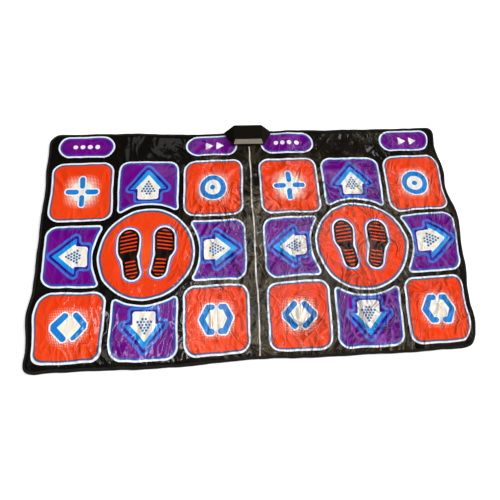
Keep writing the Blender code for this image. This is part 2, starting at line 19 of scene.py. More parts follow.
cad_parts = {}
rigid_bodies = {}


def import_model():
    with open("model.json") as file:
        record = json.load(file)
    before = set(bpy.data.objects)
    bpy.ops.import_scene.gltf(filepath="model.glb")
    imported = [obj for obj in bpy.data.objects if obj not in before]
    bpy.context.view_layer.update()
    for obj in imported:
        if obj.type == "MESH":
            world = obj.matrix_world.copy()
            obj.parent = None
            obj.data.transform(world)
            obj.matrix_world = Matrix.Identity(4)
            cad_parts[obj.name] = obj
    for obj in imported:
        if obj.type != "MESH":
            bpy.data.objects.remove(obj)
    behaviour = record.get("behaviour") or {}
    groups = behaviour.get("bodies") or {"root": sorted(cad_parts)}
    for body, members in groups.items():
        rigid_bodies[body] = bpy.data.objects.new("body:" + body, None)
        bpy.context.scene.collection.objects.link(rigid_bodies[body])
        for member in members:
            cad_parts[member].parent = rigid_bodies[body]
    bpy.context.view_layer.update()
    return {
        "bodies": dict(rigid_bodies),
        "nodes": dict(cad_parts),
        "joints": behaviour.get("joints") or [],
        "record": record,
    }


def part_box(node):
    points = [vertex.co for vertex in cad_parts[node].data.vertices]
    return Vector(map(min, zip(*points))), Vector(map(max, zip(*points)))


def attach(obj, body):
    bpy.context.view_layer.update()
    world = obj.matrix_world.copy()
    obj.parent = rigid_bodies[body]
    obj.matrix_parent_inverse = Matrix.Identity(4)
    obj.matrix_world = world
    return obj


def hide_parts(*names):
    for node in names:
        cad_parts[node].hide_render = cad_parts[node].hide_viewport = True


Cell = namedtuple("Cell", "name kind centre turn outline slot")
Crease = namedtuple("Crease", "start along length bow width height")
Pull = namedtuple("Pull", "place reach shift")

# Prints are drawn in millimetres
MM = 1000.0

# The layout, as in part.py
CELL_WIDTH = 0.243
CORNER_CELL_DEPTH = 0.256
SIDE_CELL_DEPTH = 0.246
CELL_CORNER_RADIUS = 0.045
CELL_TIP_RADIUS = 0.014
COLUMN_PITCH = 0.262
ROW_PITCH = 0.268
DISC_RADIUS = 0.18396
DISC_MARGIN = 0.017
PILL_WIDTH = 0.226
PILL_DEPTH = 0.098
PILL_SIDE_MARGIN = 0.037
PILL_CENTRE_MARGIN = 0.048
PILL_Y = 0.414
MAT_WIDTH = 1.65
MAT_DEPTH = 0.952
MAT_CORNER_RADIUS = 0.045
HALF_CENTRE_X = 0.418
MIDDLE_ROW_Y = -0.056
TAPE_THICKNESS = 0.0006
TAPE_LIP = 0.01
FIT_GAP = 0.0003
SPACER_CLEARANCE = 0.0015
CONTACT_INSET = 0.012

# How finely the sheets are cut up
SHEET_STEP = 0.0042
PAD_STEP = 0.004
BACKING_STEP = 0.01
HIDDEN_STEP = 0.012
TAPE_STEP = 0.0035
ARC_STEP = 0.004
# Share of a step that the inner points keep from an outline
OUTLINE_ROOM = 0.55

# Stretches of the back edge: half width, front and how far beyond them the mat is free again
FLAT_UNDER_BOX = (0.106, 0.396, 0.08)
HELD_BY_BOX = (0.05, 0.425, 0.065)

# Stitches of the edge tape
STITCH_INSET = 0.0068
STITCH_PITCH = 0.0046
STITCH_LENGTH = 0.0031
THREAD_RADIUS = 0.00035

# How the mat lies beside its flat layout, as soft pulls in the plane: place, reach, shift
PULLS = (
    Pull((-0.74, 0.31), 0.33, (0.014, -0.007)),
    Pull((-0.23, 0.55), 0.14, (0.021, -0.016)),
    Pull((-0.82, -0.29), 0.06, (-0.013, -0.002)),
    Pull((-0.76, -0.43), 0.04, (-0.01, 0.006)),
    Pull((-0.6, -0.4), 0.055, (-0.014, 0.01)),
    Pull((-0.77, -0.2), 0.035, (0.008, 0.0)),
    Pull((-0.72, -0.6), 0.15, (0.018, -0.022)),
    Pull((-0.36, -0.6), 0.15, (0.0, -0.021)),
    Pull((-0.55, -0.1), 0.15, (0.0, -0.012)),
    Pull((0.27, -0.04), 0.12, (0.006, 0.011)),
    Pull((0.35, -0.53), 0.23, (-0.021, -0.003)),
    Pull((0.45, 0.23), 0.24, (-0.005, -0.01)),
    Pull((0.74, -0.03), 0.08, (0.016, 0.017)),
    Pull((0.84, -0.46), 0.06, (-0.028, 0.013)),
    Pull((0.86, -0.28), 0.07, (-0.026, 0.0)),
    Pull((0.87, -0.08), 0.06, (-0.02, 0.0)),
    Pull((0.87, 0.18), 0.05, (-0.026, 0.0)),
    Pull((0.87, 0.38), 0.07, (-0.036, -0.003)),
)
# The front left corner is pulled out nearly square
SQUARE_CORNER = (-0.806, -0.457)
SQUARE_PULL = 0.01
SQUARE_REACH = 0.024
# The longest soft folds by the front left corner: start, turn in degrees, then as in Crease
LONG_FOLDS = (
    ((-0.64, -0.474), 62, 0.13, 0.016, 0.01, 0.0042),
    ((-0.6, -0.474), 50, 0.12, 0.014, 0.008, 0.0036),
    ((-0.56, -0.47), 118, 0.09, 0.006, 0.006, 0.003),
    ((-0.525, -0.465), 122, 0.11, 0.008, 0.007, 0.0032),
    ((-0.61, -0.26), 100, 0.12, -0.01, 0.009, 0.0026),
    ((-0.8, -0.43), 20, 0.11, 0.01, 0.01, 0.0024),
)
# Small waves in the plane, from the slack in the vinyl: size, reach, seed
WOBBLES = ((0.11, 0.0032, 21), (0.045, 0.0012, 23))
# Creases laid at random: how many, then their least and greatest length, width and height
CREASE_SETS = (
    (200, (0.07, 0.2), (0.006, 0.011), (0.0006, 0.0022)),
    (320, (0.03, 0.09), (0.004, 0.0065), (0.0003, 0.001)),
)
# The way most of them run and how far others turn from it, in radians, and their share of bow
CREASE_TURN = 1.35
CREASE_TURN_SPREAD = 0.75
CREASE_BOW = 0.16
# Folds all over the loose vinyl: height, size, stretch, seed
FOLD_SETS = ((0.0044, 0.085, 2.4, 11), (0.0032, 0.036, 4.0, 17), (0.0006, 0.019, 3.0, 27))
UNDULATION_HEIGHT = 0.0034
SWELL_HEIGHT = 0.001
# How far from the mat's rim the creases are at their full height
RIM_REACH = 0.022

# The table of slopes behind the noise
NOISE_CELLS = 128
NOISE_OFFSET = 31.7
NOISE_GAIN = 1.6

# The box's CAD nodes, which show as they are, under their slots in the record
BOX_SLOTS = {
    "black_plastic": ("box_base", "box_cover"),
    "grey_plastic": ("front_panel",),
    "board_green": ("circuit_board",),
    "chip_black": ("controller_chip",),
    "contact_film": ("ribbon_tail",),
    "gland_rubber": ("left_cable_gland", "right_cable_gland"),
    "zinc_steel": [f"cover_screw_{number}" for number in (1, 2, 3, 4)],
}

# Long lamps over the mat, which its folds mirror: place, width and length, glare
LAMP_HEIGHT = 2.4
OVERHEAD_LAMPS = (
    ((0.12, 0.2), (0.3, 1.6), 0.7),
    ((0.85, 0.4), (0.3, 1.4), 0.6),
    ((-0.55, 2.0), (0.5, 0.4), 0.6),
    ((-1.2, 0.0), (0.06, 0.7), 9.0),
    ((-0.62, 0.05), (0.06, 0.8), 9.0),
    ((-0.15, 0.45), (0.05, 1.1), 8.0),
    ((0.34, 0.75), (0.05, 1.9), 8.0),
    ((0.66, 0.85), (0.05, 2.1), 4.5),
    ((1.0, 0.7), (0.05, 1.8), 4.5),
    ((1.38, 0.95), (0.05, 1.9), 4.5),
    ((1.8, 1.1), (0.05, 1.4), 3.0),
)
# Lamps around the mat: name, place, width and height, glare. Only a weak copy is mirrored
SIDE_LAMPS = (
    ("right_lamp", (3.0, -0.2, 1.7), (3.0, 1.2), 0.8),
    ("left_lamp", (-3.0, -0.2, 1.7), (3.0, 1.2), 1.2),
    ("front_lamp", (-0.4, -3.2, 1.4), (3.6, 1.0), 5.0),
)
MIRRORED_GLARE = 0.4
KEY_LAMP_ENERGY = 4.3
KEY_LAMP_ANGLE = math.radians(50)
KEY_LAMP_SIDE = (2.0, 0.6, 1.1)
# The world's light, apart from what the camera sees
WORLD_LIGHT = 0.03

# The floor
FLOOR_REACH = 6.0
FLOOR_Z = -0.0002
FLOOR_GLOW = 0.45

# The camera's turns in degrees: about the upright, up from straight down, and about its own line
CAMERA_TURNS = ((-11.495, "Z"), (20.925, "X"), (8.763, "Z"))
CAMERA_TARGET = (-0.01984, -0.06088, 0.0)
CAMERA_DISTANCE = 1.8485
CAMERA_LENS = 34.56
CAMERA_SENSOR = 36.0


def arc(centre, radius, start, end):
    """Points along an arc, its ends included. Angles are in degrees."""
    steps = max(2, math.ceil(abs(math.radians(end - start)) * radius / ARC_STEP))
    turns = np.radians(np.linspace(start, end, steps + 1))
    return np.array(centre) + radius * np.c_[np.cos(turns), np.sin(turns)]


def moved(points, centre, turn=0.0):
    """Points turned about the origin, in degrees, then moved to the centre."""
    c, s = math.cos(math.radians(turn)), math.sin(math.radians(turn))
    return points @ np.array(((c, s), (-s, c))) + np.array(centre)


def rounded_rectangle(width, depth, radius):
    """Outline round the origin, anticlockwise."""
    x = width / 2 - radius
    y = depth / 2 - radius
    corners = ((x, y), (-x, y), (-x, -y), (x, -y))
    return np.vstack([arc(c, radius, 90 * i, 90 * i + 90) for i, c in enumerate(corners)])


def corner_cell(grow):
    """Outline of a corner cell round its own centre."""
    return rounded_rectangle(
        CELL_WIDTH + 2 * grow, CORNER_CELL_DEPTH + 2 * grow, CELL_CORNER_RADIUS + grow
    )


def pill_cell(grow):
    """Outline of a menu zone with round ends, round its own centre."""
    width = PILL_WIDTH + 2 * grow
    depth = PILL_DEPTH + 2 * grow
    return rounded_rectangle(width, depth, depth / 2 - 1e-6)


def arrow_cell(width, reach, grow):
    """Outline of the cell above the disc, seen from the disc's centre, with the disc's bite."""
    half = width / 2 + grow
    top = reach + grow
    corner = CELL_CORNER_RADIUS + grow
    tip = CELL_TIP_RADIUS + grow
    bite = DISC_RADIUS + DISC_MARGIN - grow
    tip_x = half - tip
    tip_y = math.sqrt((bite + tip) ** 2 - tip_x**2)
    lean = math.degrees(math.atan2(tip_y, tip_x))
    arcs = (
        arc((half - corner, top - corner), corner, 0, 90),
        arc((corner - half, top - corner), corner, 90, 180),
        arc((-tip_x, tip_y), tip, 180, 360 - lean),
        arc((0.0, 0.0), bite, 180 - lean, lean)[1:-1],
        arc((tip_x, tip_y), tip, 180 + lean, 360),
    )
    return np.vstack(arcs)


def placed(shape, pivot, turn, grow):
    """Outline of a cell on the mat, from its shape round the pivot."""
    return moved(shape(grow), pivot, turn)


def player_cells(player, side):
    """The zones of one player's half: side is -1 for the left half and 1 for the right one."""
    half_x = side * HALF_CENTRE_X
    disc = (half_x, MIDDLE_ROW_Y)
    cells = []

    def add(name, kind, slot, shape, centre, pivot, turn=0):
        outline = partial(placed, shape, pivot, turn)
        cells.append(Cell(f"{player}_{name}", kind, centre, turn, outline, slot))

    for row, up in (("front", -1), ("back", 1)):
        for column, out in (("left", -1), ("right", 1)):
            centre = (half_x + out * COLUMN_PITCH, MIDDLE_ROW_Y + up * ROW_PITCH)
            name = f"{row}_{column}"
            add(name, name, "orange_vinyl", corner_cell, centre, centre)
    upright = (CELL_WIDTH, ROW_PITCH + CORNER_CELL_DEPTH / 2, ROW_PITCH)
    sideways = (SIDE_CELL_DEPTH, COLUMN_PITCH + CELL_WIDTH / 2, COLUMN_PITCH)
    shapes = {"up": upright, "left": sideways, "down": upright, "right": sideways}
    for quarter, (name, (width, reach, pitch)) in enumerate(shapes.items()):
        turn = 90 * quarter
        centre = tuple(moved(np.array(((0.0, pitch),)), disc, turn)[0])
        shape = partial(arrow_cell, width, reach)
        add(name, "arrow", "purple_vinyl", shape, centre, disc, turn)
    outer = MAT_WIDTH / 2 - PILL_SIDE_MARGIN - PILL_WIDTH / 2
    inner = PILL_CENTRE_MARGIN + PILL_WIDTH / 2
    for name, x in zip(("select", "start"), sorted((side * outer, side * inner))):
        add(name, name, "purple_vinyl", pill_cell, (x, PILL_Y), (x, PILL_Y))
    return cells


def mat_outline(inset):
    """The mat's outline, drawn in on every side."""
    width, depth = MAT_WIDTH - 2 * inset, MAT_DEPTH - 2 * inset
    return rounded_rectangle(width, depth, MAT_CORNER_RADIUS - inset)


def resampled(outline, step):
    """A closed outline with points added, so that no two neighbours are over a step apart."""
    points = []
    for start, end in zip(outline, np.roll(outline, -1, axis=0)):
        count = max(1, math.ceil(np.linalg.norm(end - start) / step))
        points += [start + (end - start) * i / count for i in range(count)]
    return np.array(points)


def depth_inside(points, outline):
    """How far each point lies inside a closed outline. Outside it the value is negative."""
    nearest = np.full(len(points), np.inf)
    inside = np.zeros(len(points), bool)
    x, y = points.T
    for start, end in zip(outline, np.roll(outline, -1, axis=0)):
        edge = end - start
        offset = points - start
        t = np.clip(offset @ edge / (edge @ edge), 0, 1)
        nearest = np.minimum(nearest, ((offset - t[:, None] * edge) ** 2).sum(axis=1))
        if start[1] != end[1]:
            between = (start[1] > y) != (end[1] > y)
            inside ^= between & (x < start[0] + edge[0] * (y - start[1]) / edge[1])
    return np.where(inside, 1, -1) * np.sqrt(nearest)


def smooth_step(value):
    """From 0 to 1 as the value goes from 0 to 1, flat at both ends."""
    t = np.clip(value, 0, 1)
    return t * t * (3 - 2 * t)


def away_from(points, half_width, front_y, reach):
    """0 inside a stretch of the back edge, 1 a reach away from it."""
    x = np.maximum(np.abs(points[:, 0]) - half_width, 0)
    y = np.maximum(front_y - points[:, 1], 0)
    return smooth_step(np.hypot(x, y) / reach)


def bell(points, place, reach):
    """1 at a place, and nearly 0 three reaches away from it."""
    gaps = ((points - np.array(place)) ** 2).sum(axis=1)
    return np.exp(-gaps / (2 * reach**2))


def shifted(points):
    """Points of the flat layout where they lie on the floor, from above."""
    freedom = away_from(points, *HELD_BY_BOX)[:, None]
    shift = np.zeros(points.shape)
    for pull in PULLS:
        shift += bell(points, pull.place, pull.reach)[:, None] * np.array(pull.shift)
    for size, reach, seed in WOBBLES:
        shift += reach * np.column_stack([noise(points, size, seed + k) for k in (0, 1)])
    corner = SQUARE_PULL * bell(points, SQUARE_CORNER, SQUARE_REACH)
    return points + freedom * shift - corner[:, None]


def noise(points, size, seed):
    """Smooth gradient noise, mostly from -1 to 1, whose lumps are about a size across."""
    turns = np.random.default_rng(seed).uniform(0, 2 * math.pi, (NOISE_CELLS, NOISE_CELLS))
    place = points / size + NOISE_OFFSET
    cell = np.floor(place).astype(int)
    x, y = (place - cell).T
    u, v = (t**3 * (t * (t * 6 - 15) + 10) for t in (x, y))

    def slope(i, j):
        turn = turns[(cell[:, 0] + i) % NOISE_CELLS, (cell[:, 1] + j) % NOISE_CELLS]
        return np.cos(turn) * (x - i) + np.sin(turn) * (y - j)

    low = slope(0, 0) * (1 - u) + slope(1, 0) * u
    high = slope(0, 1) * (1 - u) + slope(1, 1) * u
    return NOISE_GAIN * (low * (1 - v) + high * v)


def slack(points):
    """How loose the vinyl lies, from 0 to 1: most right of the centre, least at the back left."""
    x, y = points.T
    off_left = smooth_step((x + 0.38) / 0.3)
    near_right = smooth_step((x - 0.45) / 0.3)
    near_back = smooth_step((y - 0.12) / 0.3)
    front_left = np.exp(-(((x + 0.56) / 0.22) ** 2) - ((y + 0.42) / 0.09) ** 2)
    level = 0.16 + 0.84 * off_left * (1 - 0.45 * near_right)
    level *= 1 - 0.45 * near_back
    level += 0.3 * front_left * (1 - level)
    patches = smooth_step(0.5 + 1.3 * noise(points, 0.14, 13))
    return level * (0.62 + 0.38 * patches)


def folds(points, size, stretch, seed):
    """Sharp-crested folds from 0 to 1 that run along Y, in soft bends."""
    drift = 0.35 * noise(points, 5 * size, seed + 1) + 0.18 * noise(points, 2 * size, seed + 2)
    x, y = points.T
    laid = np.c_[x + drift * 4 * size, y / stretch]
    return np.clip(1 - 1.9 * np.abs(noise(laid, size, seed)), 0, None)


def make_creases():
    """The creases of the vinyl: long soft folds, and short crisp ones, more on the right half."""
    random = np.random.default_rng(7)
    creases = []
    for start, turn, *sizes in LONG_FOLDS:
        along = np.array((math.cos(math.radians(turn)), math.sin(math.radians(turn))))
        creases.append(Crease(np.array(start), along, *sizes))
    for count, lengths, widths, heights in CREASE_SETS:
        for _ in range(count):
            x = MAT_WIDTH * (0.5 - random.random() ** 1.25)
            y = MAT_DEPTH * (random.random() - 0.5)
            turn = random.normal(CREASE_TURN, CREASE_TURN_SPREAD)
            along = np.array((math.cos(turn), math.sin(turn)))
            length = random.uniform(*lengths)
            bow = length * random.uniform(-CREASE_BOW, CREASE_BOW)
            width = random.uniform(*widths)
            strength = 0.06 + 1.15 * slack(np.array(((x, y),)))[0]
            height = strength * random.uniform(*heights)
            creases.append(Crease(np.array((x, y)), along, length, bow, width, height))
    return creases


def undulation(points):
    """How high the whole mat stands off the floor."""
    waves = 0.5 + 0.5 * noise(points, 0.26, 3) + 0.22 * noise(points, 0.12, 4)
    return UNDULATION_HEIGHT * np.clip(waves, 0, None) * away_from(points, *FLAT_UNDER_BOX)


def creasing(points):
    """How high the printed vinyl stands off the foam."""
    height = np.zeros(len(points))
    for crease in CREASES:
        offset = points - crease.start
        t = offset @ crease.along / crease.length
        near = (t > 0) & (t < 1)
        across = offset[near] @ np.array((-crease.along[1], crease.along[0]))
        across = across - crease.bow * 4 * t[near] * (1 - t[near])
        taper = np.sin(math.pi * t[near])
        height[near] += crease.height * taper * np.exp(-((across / crease.width) ** 2))
    loose = slack(points)
    for ridge, size, stretch, seed in FOLD_SETS:
        height += loose * ridge * folds(points, size, stretch, seed)
    height += SWELL_HEIGHT * (1 + noise(points, 0.085, 14))
    off_rim = smooth_step(depth_inside_mat(points) / RIM_REACH)
    return height * away_from(points, *FLAT_UNDER_BOX) * (0.35 + 0.65 * off_rim)


def lying(flat, heights, creased=True):
    """Points of the flat layout where they lie, once for each height over the floor."""
    place = shifted(flat)
    lift = undulation(flat) + (creasing(flat) if creased else 0.0)
    return np.vstack([np.c_[place, height + lift] for height in heights])


def depth_inside_mat(points):
    """How far each point lies inside the mat's outline, taken as a rounded rectangle."""
    reach = np.abs(points) - np.array((MAT_WIDTH, MAT_DEPTH)) / 2 + MAT_CORNER_RADIUS
    outside = np.linalg.norm(np.maximum(reach, 0), axis=1)
    return MAT_CORNER_RADIUS - outside - np.minimum(reach.max(axis=1), 0)


def twice_areas(flat, triangles):
    """Twice the area of each triangle, below 0 where it runs clockwise."""
    a, b, c = (flat[triangles[:, i]] for i in range(3))
    return (b - a)[:, 0] * (c - a)[:, 1] - (b - a)[:, 1] * (c - a)[:, 0]


def in_hole(points, hole, margin):
    """Which points lie in a hole, or at most a margin from it."""
    low, high = hole.min(axis=0) - margin, hole.max(axis=0) + margin
    near = np.all((points > low) & (points < high), axis=1)
    near[near] = depth_inside(points[near], hole) > -margin
    return near


def flat_cut(outline, holes, step):
    """Points and triangles of a flat sheet with holes, evenly cut up."""
    low, high = outline.min(axis=0), outline.max(axis=0)
    rows = np.arange(low[1], high[1], step * math.sqrt(0.75))
    columns = np.arange(low[0], high[0], step)
    x, y = np.meshgrid(columns, rows)
    x = x + np.where(np.arange(len(rows)) % 2, step / 2, 0.0)[:, None]
    grid = np.c_[x.ravel(), y.ravel()]
    room = OUTLINE_ROOM * step
    keep = depth_inside(grid, outline) > room
    for hole in holes:
        keep &= ~in_hole(grid, hole, room)
    loops = [resampled(loop, step) for loop in (outline, *holes)]
    edges = []
    for loop in loops:
        start, count = len(edges), len(loop)
        edges += [(start + i, start + (i + 1) % count) for i in range(count)]
    points = np.vstack((*loops, grid[keep]))
    cut = delaunay_2d_cdt([Vector(p) for p in points], edges, [], 1, 1e-7)
    flat = np.array([tuple(v) for v in cut[0]])
    triangles = np.array([face for face in cut[2] if len(face) == 3])
    middles = flat[triangles].mean(axis=1)
    keep = np.ones(len(triangles), bool)
    for hole in holes:
        keep &= ~in_hole(middles, hole, 0.0)
    upward = twice_areas(flat, triangles)[:, None] > 0
    triangles = np.where(upward, triangles, triangles[:, ::-1])
    return flat, triangles[keep]


def unit(rows):
    """Vectors at a length of 1."""
    return rows / np.linalg.norm(rows, axis=1)[:, None]


def rim_edges(triangles):
    """The edges that only one triangle has, in that triangle's direction."""
    edges = np.vstack((triangles[:, :2], triangles[:, 1:], triangles[:, ::2][:, ::-1]))
    known = {tuple(edge) for edge in edges.tolist()}
    return np.array([edge for edge in edges.tolist() if (edge[1], edge[0]) not in known])


def add_object(name, data):
    """An object in the scene with this data."""
    item = bpy.data.objects.new(name, data)
    bpy.context.scene.collection.objects.link(item)
    return item


def add_mesh(name, points, faces, material):
    """A smooth-shaded mesh object, sharp where its faces turn."""
    mesh = bpy.data.meshes.new(name)
    mesh.from_pydata(points.tolist(), [], faces)
    mesh.materials.append(material)
    mesh.shade_smooth()
    mesh.set_sharp_from_angle(angle=math.radians(50))
    return add_object(name, mesh)


def add_vectors(item, name, rows):
    """Stores three numbers with each point, for the material to read."""
    attribute = item.data.attributes.new(name, "FLOAT_VECTOR", "POINT")
    attribute.data.foreach_set("vector", np.asarray(rows, dtype=np.float32).ravel())


def span(node):
    """The lowest and highest Z of a CAD node."""
    low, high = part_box(node)
    return low[2], high[2]


def soft_sheet(name, node, outline, holes, step, material, creased=False):
    """A closed sheet as thick as its CAD node. Returns it, its points laid flat and its area."""
    flat, triangles = flat_cut(outline, holes, step)
    bottom, top = span(node)
    count = len(flat)
    walls = [(j, i, i + count, j + count) for i, j in rim_edges(triangles).tolist()]
    faces = triangles.tolist() + (triangles[:, ::-1] + count).tolist() + walls
    item = add_mesh(name, lying(flat, (top, bottom), creased), faces, material)
    doubled = np.vstack((flat, flat))
    add_vectors(item, "lay", np.c_[doubled, slack(doubled)])
    return item, doubled, float((twice_areas(flat, triangles) / 2).sum())


def stand_in(item, body, slot, *nodes):
    """Puts a piece on its body and in the place of these CAD nodes. The slot is not used."""
    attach(item, body)
    if nodes:
        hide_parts(*nodes)


class Number:
    """A value in a shader. Arithmetic on it adds Math nodes, so a print reads as a formula."""

    def __init__(self, tree, source):
        self.tree = tree
        self.source = source

    def math(self, operation, *others, clamp=False):
        inputs = dict(enumerate((self, *others)))
        node = add_node(self.tree, "Math", inputs, operation=operation, use_clamp=clamp)
        return Number(self.tree, node.outputs[0])

    __add__ = partialmethod(math, "ADD")
    __sub__ = partialmethod(math, "SUBTRACT")
    __mul__ = partialmethod(math, "MULTIPLY")
    __truediv__ = partialmethod(math, "DIVIDE")
    __neg__ = partialmethod(math, "MULTIPLY", -1.0)
    __abs__ = partialmethod(math, "ABSOLUTE")
    least = partialmethod(math, "MINIMUM")
    most = partialmethod(math, "MAXIMUM")

    def __rsub__(self, other):
        return -self + other

    def within(self, low, high):
        return self.most(low).least(high)


def plug(node, inputs):
    """Fills a node's inputs: a number or a socket is linked, and a constant is set."""
    for key, value in inputs.items():
        source = value.source if isinstance(value, Number) else value
        if isinstance(source, bpy.types.NodeSocket):
            node.id_data.links.new(source, node.inputs[key])
        else:
            node.inputs[key].default_value = source


def add_node(tree, kind, inputs, **settings):
    """A shader node. Its settings come first, because they decide which inputs it has."""
    node = tree.nodes.new(f"ShaderNode{kind}")
    for name, value in settings.items():
        setattr(node, name, value)
    plug(node, inputs)
    return node


def separate(socket):
    """The three numbers of a vector."""
    node = add_node(socket.id_data, "SeparateXYZ", {0: socket})
    return [Number(node.id_data, output) for output in node.outputs]


def stored(tree, name):
    """The vector stored with the mesh's points under this name."""
    return add_node(tree, "Attribute", {}, attribute_name=name).outputs["Vector"]


def distance(u, v):
    """Distance from the origin."""
    return (u * u + v * v).math("SQRT")


def bar(u, v, start, end):
    """Distance from the stretch between two points."""
    along = (end[0] - start[0], end[1] - start[1])
    square = along[0] ** 2 + along[1] ** 2
    x, y = u - start[0], v - start[1]
    t = ((x * along[0] + y * along[1]) / square).within(0.0, 1.0)
    return distance(x - t * along[0], y - t * along[1])


def inked(gap, soft=0.5):
    """1 where the distance to a printed shape is under 0, 0 outside it, with a fine soft edge."""
    return (gap / -soft + 0.5).math("ADD", 0.0, clamp=True)


def fading(value, start, end):
    """From 0 at start to 1 at end."""
    return ((value - start) / (end - start)).math("ADD", 0.0, clamp=True)


def paint(base, colour, mask):
    """Lays a colour over the base where the mask is 1. Both may be colours or sockets."""
    a, b = ((*c, 1.0) if isinstance(c, tuple) else c for c in (base, colour))
    return add_node(mask.tree, "Mix", {0: mask, 6: a, 7: b}, data_type="RGBA").outputs[2]


def printed(base, *inks):
    """Prints inks over the base: each its colour, the distance from its shape and its softness."""
    for colour, gap, *soft in inks:
        base = paint(base, colour, inked(gap, *soft))
    return base


def halftone(u, v, pitch, radius):
    """Distance from the dots of a square screen, whose radius may change from place to place."""
    x = u - (u / pitch).math("ROUND") * pitch
    y = v - (v / pitch).math("ROUND") * pitch
    return distance(x, y) - radius


# Printing inks, and the colours of dust, painted sheen and painted highlights
WHITE = (0.9, 0.93, 0.96)
PALE_BLUE = (0.36, 0.62, 0.92)
STEEL_BLUE = (0.028, 0.1, 0.23)
DARK_LINE = (0.06, 0.045, 0.08)
ROYAL_BLUE = (0.014, 0.07, 0.38)
ORANGE = (0.84, 0.044, 0.004)
ORANGE_LIGHT = (0.88, 0.056, 0.006)
ORANGE_DOTS = (0.92, 0.1, 0.014)
PURPLE = (0.158, 0.0005, 0.235)
PURPLE_DARK = (0.11, 0.0005, 0.205)
CREAM = (0.9, 0.84, 0.7)
SIGN_BLUE = (0.001, 0.21, 0.64)
ROOF_BLUE = (0.002, 0.23, 0.7)
ROOF_LIGHT = (0.004, 0.33, 0.8)
RING_BLUE = (0.026, 0.165, 0.64)
DOT_BLUE = (0.001, 0.15, 0.4)
NAVY = (0.035, 0.003, 0.25)
BLACK_INK = (0.0034, 0.0024, 0.0016)
# Dust and painted sheen, laid in soft patches on the black vinyl
DUST_AND_SHEEN_BLACK = (0.05, 0.04, 0.02)
# The colour of the painted highlight on black crests
HIGHLIGHT_BLACK = (0.24, 0.19, 0.11)
CENTRE_LINE = (0.72, 0.7, 0.64)
# The colour of the painted highlight on orange crests
HIGHLIGHT_ORANGE = (0.95, 0.34, 0.24)
# The painted highlight on a print's crests: its colour, and at most by which share
ORANGE_CREST_HIGHLIGHT = (HIGHLIGHT_ORANGE, 0.16)
PURPLE_CREST_HIGHLIGHT = ((0.5, 0.32, 0.72), 0.28)

# Shapes of the print, in millimetres
SIGN_HALF_WIDTH = 10.5
ARROW_LEAN = math.radians(50)


def border(rim, colour, lines=(), pale=7.4, white=5.6):
    """The frame printed round a zone's colour: white at the rim, pale blue, then its lines."""
    inks = [(line, rim - end, 1.5) for end, line in reversed(lines)]
    return printed(colour, *inks, (PALE_BLUE, rim - pale, 1.2), (WHITE, rim - white, 1.0))


def orange_zone(v, rim):
    """The ground of an orange zone, with its frame."""
    fill = paint(ORANGE, ORANGE_LIGHT, fading(v, 110.0, -110.0))
    return border(rim, fill, ((11.4, STEEL_BLUE), (12.8, DARK_LINE)))


def purple_zone(u, rim, shade=(40.0, 130.0), blue=(10.5, 17.0), **frame):
    """The ground of a purple zone: royal blue inside the frame turns to purple."""
    fill = paint(PURPLE, PURPLE_DARK, fading(abs(u), *shade))
    fill = paint(ROYAL_BLUE, fill, fading(rim, *blue))
    return border(rim, fill, **frame)


def glow(base, u, v, core, reach, pitch):
    """A cream glow, solid inside the core, then dots that shrink until the reach."""
    spread = (abs(u).math("POWER", 3.0) + abs(v).math("POWER", 3.0)).math("POWER", 1 / 3.0)
    share = fading(spread, reach, core)
    dots = halftone(u, v, pitch, share.math("POWER", 0.7) * (0.52 * pitch) - 0.06 * pitch)
    return printed(base, (CREAM, dots, 0.8), (CREAM, spread - core, 5.0))


def bent_bar(u, v, start, middle, end):
    """Distance from a bar that bends once, as thick as the signs' bars."""
    return bar(u, v, start, middle).least(bar(u, v, middle, end)) - SIGN_HALF_WIDTH


def plus_sign(u, v):
    """Four bars that leave the middle open."""
    level = bar(abs(u), v, (24.0, 0.0), (54.0, 0.0))
    upright = bar(u, abs(v), (0.0, 24.0), (0.0, 54.0))
    return level.least(upright) - SIGN_HALF_WIDTH


def ring_sign(u, v):
    """A ring with a dot in it."""
    away = distance(u, v)
    return (abs(away - 43.0) - SIGN_HALF_WIDTH).least(away - 11.0)


def diamond_sign(u, v):
    """Four bars along the sides of a diamond, open at two corners."""
    return bent_bar(abs(u), abs(v), (19.0, 41.0), (52.0, 5.0), (52.0, 0.0))


def hexagon_sign(u, v):
    """A hexagon, open at the top and at the bottom."""
    return bent_bar(abs(u), abs(v), (52.0, 0.0), (30.0, 44.0), (17.0, 44.0))


def corner_print(shape):
    """The print of a corner zone: a glow, and on it this sign in blue with a white outline."""

    def print_zone(u, v, rim):
        base = glow(orange_zone(v, rim), u, v, 40.0, 80.0, 5.6)
        gap = shape(u, v)
        return printed(base, (WHITE, gap - 4.8), (SIGN_BLUE, gap))

    return print_zone


def rounded_most(a, b, radius):
    """Distance outside the space that two square edges share, its corner rounded."""
    inner = a.most(b).least(-radius)
    return inner + distance((a + radius).most(0.0), (b + radius).most(0.0))


def arrow_head(u, v, apex, shoulder, radius):
    """Distance from a triangle with rounded corners, from its sharp apex's and base's heights."""
    top = apex - radius / math.cos(ARROW_LEAN)
    base = shoulder + radius
    end = ((top - base) / math.tan(ARROW_LEAN), base)
    slopes = abs(u) * math.sin(ARROW_LEAN) + (v - top) * math.cos(ARROW_LEAN)
    inner = slopes.most(base - v)
    slope = bar(abs(u), v, (0.0, top), end)
    floor = bar(abs(u), v, (0.0, base), end)
    outside = inner.math("GREATER_THAN", 0.0)
    return inner.least(0.0) + slope.least(floor) * outside - radius


def house(u, v, head, tail, fillet):
    """Distance from an arrow: a head, from its apex, base and rounding, over a tail, likewise."""
    apex, shoulder, head_radius = head
    half_width, bottom, tail_radius = tail
    upper = arrow_head(u, v, apex, shoulder, head_radius)
    lower = rounded_most(abs(u) - half_width, bottom - v, tail_radius)
    lower = lower.most(v - (shoulder + 2 * head_radius))
    return -rounded_most(-upper, -lower, fillet)


